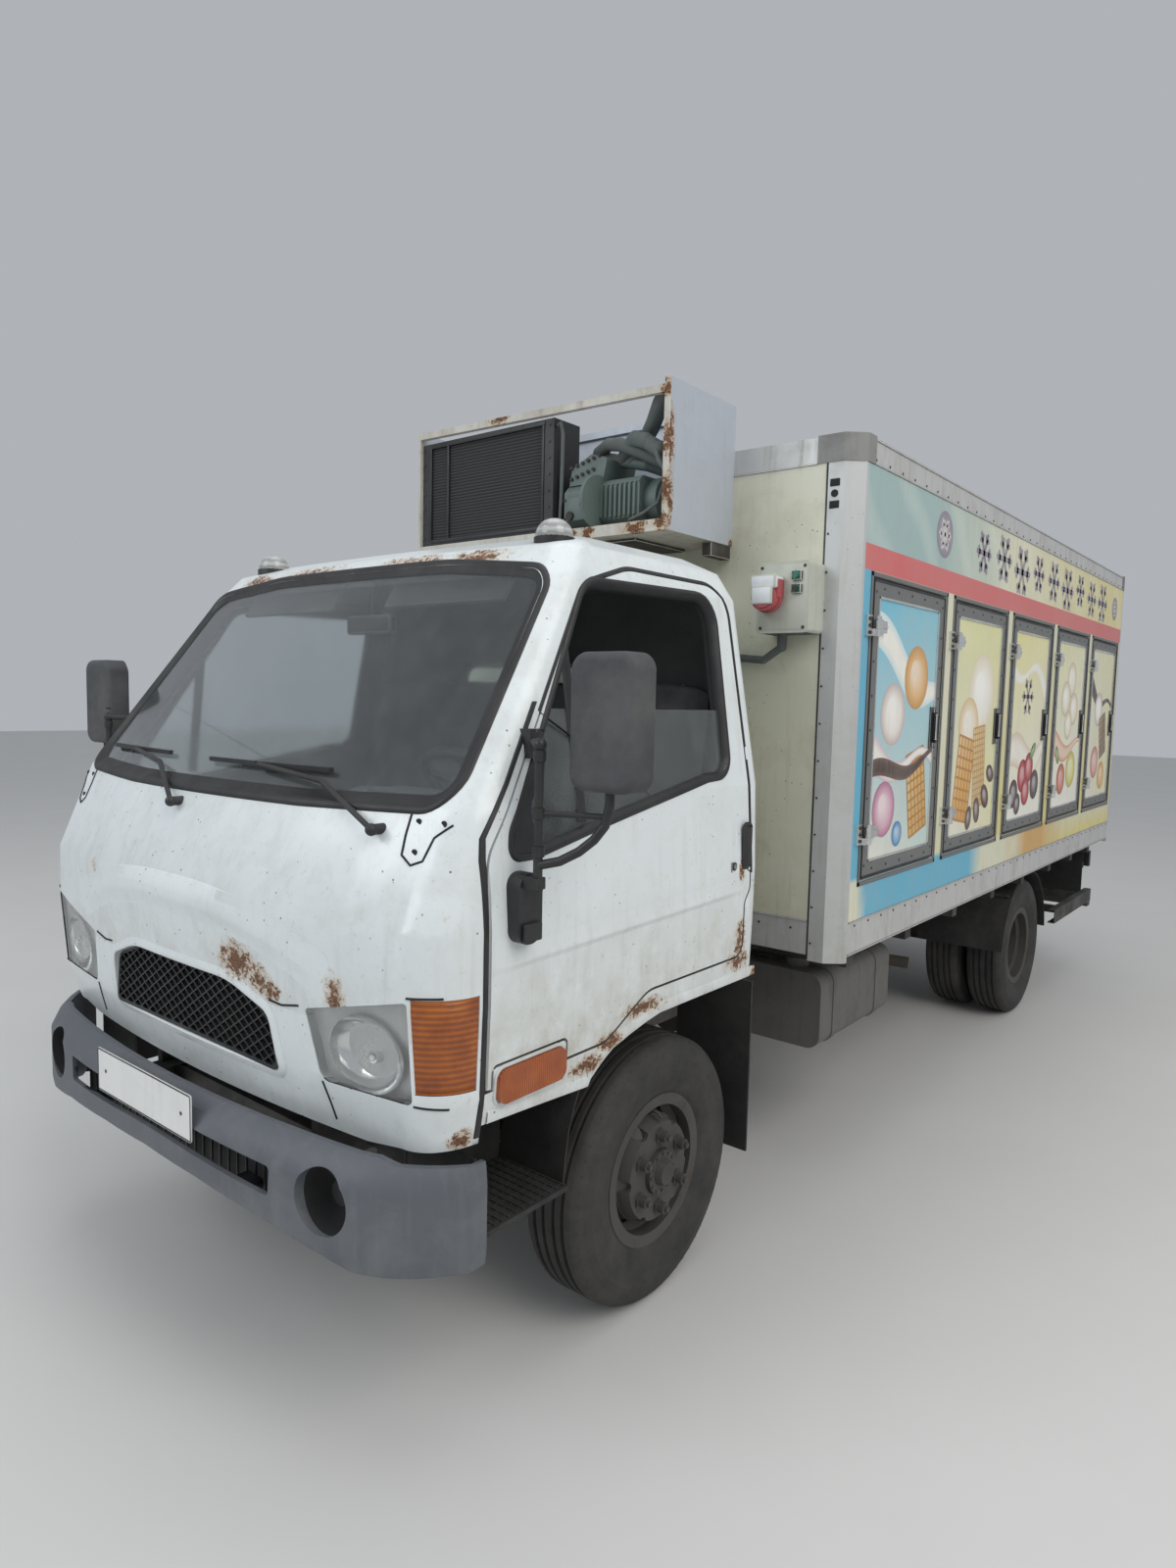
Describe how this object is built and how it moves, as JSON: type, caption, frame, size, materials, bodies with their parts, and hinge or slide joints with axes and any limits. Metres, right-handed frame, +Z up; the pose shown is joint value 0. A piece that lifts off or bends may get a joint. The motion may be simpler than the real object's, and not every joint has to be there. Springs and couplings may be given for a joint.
{
  "type": "light truck",
  "caption": "Cab-over light truck with an insulated delivery body, side service doors, a front-wall condensing unit, twin rear tyres, a tilting cab and working steering.",
  "frame": {"origin": "centre of the footprint's bounding box, on the ground", "axes": "+Z up, -Y the way the truck faces, +X its left side"},
  "size_m": [2.592, 6.46, 2.905],
  "materials": {
    "frame_black": "satin",
    "cab_white": "gloss",
    "body_panel": "gloss",
    "body_white": "satin",
    "rail_aluminium": "satin",
    "door_panel": "satin",
    "glass": "gloss",
    "lens": "gloss",
    "amber": "gloss",
    "red": "gloss",
    "black_plastic": "matte",
    "grey_plastic": "matte",
    "bumper_plastic": "matte",
    "seat": "matte",
    "tyre": "matte",
    "rim": "satin",
    "iron": "matte",
    "machine": "satin"
  },
  "bodies": {
    "chassis": {"ladder_frame": "frame_black", "subframe": "frame_black", "front_axle": "iron", "leaf_springs": "iron", "rear_axle": "iron", "powertrain": "iron", "tanks_and_boxes": "frame_black", "guards_and_steps": "black_plastic", "rear_bars": "frame_black", "tail_lamps": "red", "bumper": "bumper_plastic", "corner_posts": "rail_aluminium", "body_rails": "rail_aluminium", "body_floor": "body_white", "body_roof": "body_white", "end_walls": "body_panel", "wall_left": "body_panel", "wall_right": "body_panel", "socket_box": "grey_plastic", "unit_frame": "body_white", "condenser": "black_plastic", "compressor": "machine"},
    "cab": {"cab_shell": "cab_white", "front_panel": "cab_white", "cab_glass": "glass", "grille": "black_plastic", "headlamps": "lens", "marker_lamps": "amber", "cab_floor": "frame_black", "dashboard": "grey_plastic", "seats": "seat", "wipers": "black_plastic"},
    "steering_wheel": {"steering_wheel": "black_plastic"},
    "cab_door_left": {"cab_door_left": "cab_white", "door_glass_left": "glass", "mirror_left": "black_plastic"},
    "cab_door_right": {"cab_door_right": "cab_white", "door_glass_right": "glass", "mirror_right": "black_plastic"},
    "knuckle_left": {"knuckle_left": "iron"},
    "knuckle_right": {"knuckle_right": "iron"},
    "tie_rod": {"tie_rod": "iron"},
    "wheel_front_left": {"front_rim_left": "rim", "front_tyre_left": "tyre"},
    "wheel_front_right": {"front_rim_right": "rim", "front_tyre_right": "tyre"},
    "wheel_rear_left": {"rear_rims_left": "rim", "rear_tyres_left": "tyre"},
    "wheel_rear_right": {"rear_rims_right": "rim", "rear_tyres_right": "tyre"},
    "body_door_left_1": {"body_door_left_1": "door_panel"},
    "body_door_left_2": {"body_door_left_2": "door_panel"},
    "body_door_left_3": {"body_door_left_3": "door_panel"},
    "body_door_left_4": {"body_door_left_4": "door_panel"},
    "body_door_left_5": {"body_door_left_5": "door_panel"},
    "body_door_right_1": {"body_door_right_1": "door_panel"},
    "body_door_right_2": {"body_door_right_2": "door_panel"},
    "body_door_right_3": {"body_door_right_3": "door_panel"},
    "body_door_right_4": {"body_door_right_4": "door_panel"},
    "body_door_right_5": {"body_door_right_5": "door_panel"}
  },
  "joints": [
    {"name": "cab_tilt", "type": "hinge", "parent": "chassis", "child": "cab", "pos_m": [0, -2.975, 0.76], "axis": [1, 0, 0], "range_deg": [0, 35]},
    {"name": "steer_left", "type": "hinge", "parent": "chassis", "child": "knuckle_left", "pos_m": [0.715, -2.115, 0.4025], "axis": [0, 0, 1], "range_deg": [-36, 36]},
    {"name": "steer_right", "type": "hinge", "parent": "chassis", "child": "knuckle_right", "pos_m": [-0.715, -2.115, 0.4025], "axis": [0, 0, 1], "range_deg": [-36, 36]},
    {"name": "tie_rod_pivot", "type": "hinge", "parent": "knuckle_left", "child": "tie_rod", "pos_m": [0.715, -1.955, 0.2885], "axis": [0, 0, 1], "range_deg": [-36, 36]},
    {"name": "steering_turn", "type": "hinge", "parent": "cab", "child": "steering_wheel", "pos_m": [0.505, -2.433, 1.53], "axis": [0, 0.6157, 0.788], "range_deg": [-580, 580]},
    {"name": "front_left_spin", "type": "hinge", "parent": "knuckle_left", "child": "wheel_front_left", "pos_m": [0.8325, -2.115, 0.4025], "axis": [1, 0, 0], "continuous": true},
    {"name": "front_right_spin", "type": "hinge", "parent": "knuckle_right", "child": "wheel_front_right", "pos_m": [-0.8325, -2.115, 0.4025], "axis": [1, 0, 0], "continuous": true},
    {"name": "rear_left_spin", "type": "hinge", "parent": "chassis", "child": "wheel_rear_left", "pos_m": [0.7475, 1.62, 0.4025], "axis": [1, 0, 0], "continuous": true},
    {"name": "rear_right_spin", "type": "hinge", "parent": "chassis", "child": "wheel_rear_right", "pos_m": [-0.7475, 1.62, 0.4025], "axis": [1, 0, 0], "continuous": true},
    {"name": "cab_door_left_hinge", "type": "hinge", "parent": "cab", "child": "cab_door_left", "pos_m": [0.985, -2.921, 1.3], "axis": [0, 0, 1], "range_deg": [-70, 0]},
    {"name": "cab_door_right_hinge", "type": "hinge", "parent": "cab", "child": "cab_door_right", "pos_m": [-0.985, -2.921, 1.3], "axis": [0, 0, 1], "range_deg": [0, 70]},
    {"name": "body_door_left_1_hinge", "type": "hinge", "parent": "chassis", "child": "body_door_left_1", "pos_m": [1.126, -1.129, 1.73], "axis": [0, 0, 1], "range_deg": [-100, 0]},
    {"name": "body_door_left_2_hinge", "type": "hinge", "parent": "chassis", "child": "body_door_left_2", "pos_m": [1.126, -0.261, 1.73], "axis": [0, 0, 1], "range_deg": [-100, 0]},
    {"name": "body_door_left_3_hinge", "type": "hinge", "parent": "chassis", "child": "body_door_left_3", "pos_m": [1.126, 0.607, 1.73], "axis": [0, 0, 1], "range_deg": [-100, 0]},
    {"name": "body_door_left_4_hinge", "type": "hinge", "parent": "chassis", "child": "body_door_left_4", "pos_m": [1.126, 1.475, 1.73], "axis": [0, 0, 1], "range_deg": [-100, 0]},
    {"name": "body_door_left_5_hinge", "type": "hinge", "parent": "chassis", "child": "body_door_left_5", "pos_m": [1.126, 2.343, 1.73], "axis": [0, 0, 1], "range_deg": [-100, 0]},
    {"name": "body_door_right_1_hinge", "type": "hinge", "parent": "chassis", "child": "body_door_right_1", "pos_m": [-1.126, -1.129, 1.73], "axis": [0, 0, 1], "range_deg": [0, 100]},
    {"name": "body_door_right_2_hinge", "type": "hinge", "parent": "chassis", "child": "body_door_right_2", "pos_m": [-1.126, -0.261, 1.73], "axis": [0, 0, 1], "range_deg": [0, 100]},
    {"name": "body_door_right_3_hinge", "type": "hinge", "parent": "chassis", "child": "body_door_right_3", "pos_m": [-1.126, 0.607, 1.73], "axis": [0, 0, 1], "range_deg": [0, 100]},
    {"name": "body_door_right_4_hinge", "type": "hinge", "parent": "chassis", "child": "body_door_right_4", "pos_m": [-1.126, 1.475, 1.73], "axis": [0, 0, 1], "range_deg": [0, 100]},
    {"name": "body_door_right_5_hinge", "type": "hinge", "parent": "chassis", "child": "body_door_right_5", "pos_m": [-1.126, 2.343, 1.73], "axis": [0, 0, 1], "range_deg": [0, 100]}
  ],
  "couplings": [
    {"joint": "steer_right", "follows": "steer_left", "ratio": 1},
    {"joint": "tie_rod_pivot", "follows": "steer_left", "ratio": -1},
    {"joint": "steering_turn", "follows": "steer_left", "ratio": 16}
  ]
}
